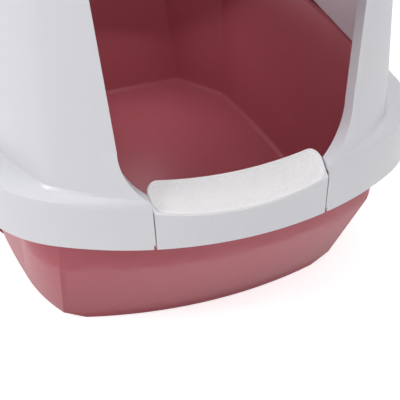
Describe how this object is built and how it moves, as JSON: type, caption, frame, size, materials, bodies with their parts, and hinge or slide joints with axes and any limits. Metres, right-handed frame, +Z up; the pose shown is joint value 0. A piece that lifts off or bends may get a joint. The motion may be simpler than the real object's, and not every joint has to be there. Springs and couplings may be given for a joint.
{
  "type": "drawer litter box",
  "caption": "Hooded cat litter box with a front entrance, a step with a grip pad and a pan that pulls out like a drawer.",
  "frame": {"origin": "on the floor, under the middle of the whole box", "axes": "+X to the right, +Y to the back, +Z up; the entrance faces -Y"},
  "size_m": [0.466, 0.585, 0.5],
  "materials": {
    "rose_plastic": "dusty rose moulded plastic, satin",
    "white_plastic": "cool white moulded plastic, satin",
    "pad_plastic": "white plastic with a fine diamond grip",
    "clip_plastic": "moulded plastic",
    "glide_plastic": "slippery dark plastic",
    "rail_plastic": "grey moulded plastic",
    "foot_rubber": "soft dark rubber",
    "filter_foam": "black carbon foam",
    "handle_plastic": "dusty rose moulded plastic, satin",
    "latch_plastic": "dusty rose moulded plastic, satin",
    "steel": "plain steel"
  },
  "bodies": {
    "housing": {"rear_shell": "white_plastic", "base_frame": "rose_plastic", "base_feet": "foot_rubber", "left_rail": "rail_plastic", "right_rail": "rail_plastic", "rail_screws": "steel", "carbon_filter": "filter_foam", "filter_cover_pin": "steel", "handle_pin_left": "steel", "handle_pin_right": "steel", "left_latch_pin": "steel", "right_latch_pin": "steel"},
    "drawer": {"drawer_tub": "rose_plastic", "tub_glides": "glide_plastic", "front_step": "white_plastic", "step_pad": "pad_plastic", "front_panel": "white_plastic", "panel_clips": "clip_plastic"},
    "handle": {"carry_handle": "handle_plastic"},
    "cover": {"filter_cover": "white_plastic"},
    "latch_left": {"left_latch": "latch_plastic"},
    "latch_right": {"right_latch": "latch_plastic"}
  },
  "joints": [
    {"name": "drawer_slide", "type": "slide", "parent": "housing", "child": "drawer", "axis": [0, -1, 0], "range_m": [0, 0.22]},
    {"name": "handle_fold", "type": "hinge", "parent": "housing", "child": "handle", "pos_m": [0, 0.042, 0.492], "axis": [-1, 0, 0], "range_deg": [0, 95]},
    {"name": "cover_hinge", "type": "hinge", "parent": "housing", "child": "cover", "pos_m": [0, 0.1743, 0.4965], "axis": [-1, 0, 0], "range_deg": [0, 90]},
    {"name": "left_latch_swing", "type": "hinge", "parent": "housing", "child": "latch_left", "pos_m": [-0.229, 0.092, 0.186], "axis": [0, 1, 0], "range_deg": [0, 75]},
    {"name": "right_latch_swing", "type": "hinge", "parent": "housing", "child": "latch_right", "pos_m": [0.229, 0.092, 0.186], "axis": [0, -1, 0], "range_deg": [0, 75]}
  ]
}
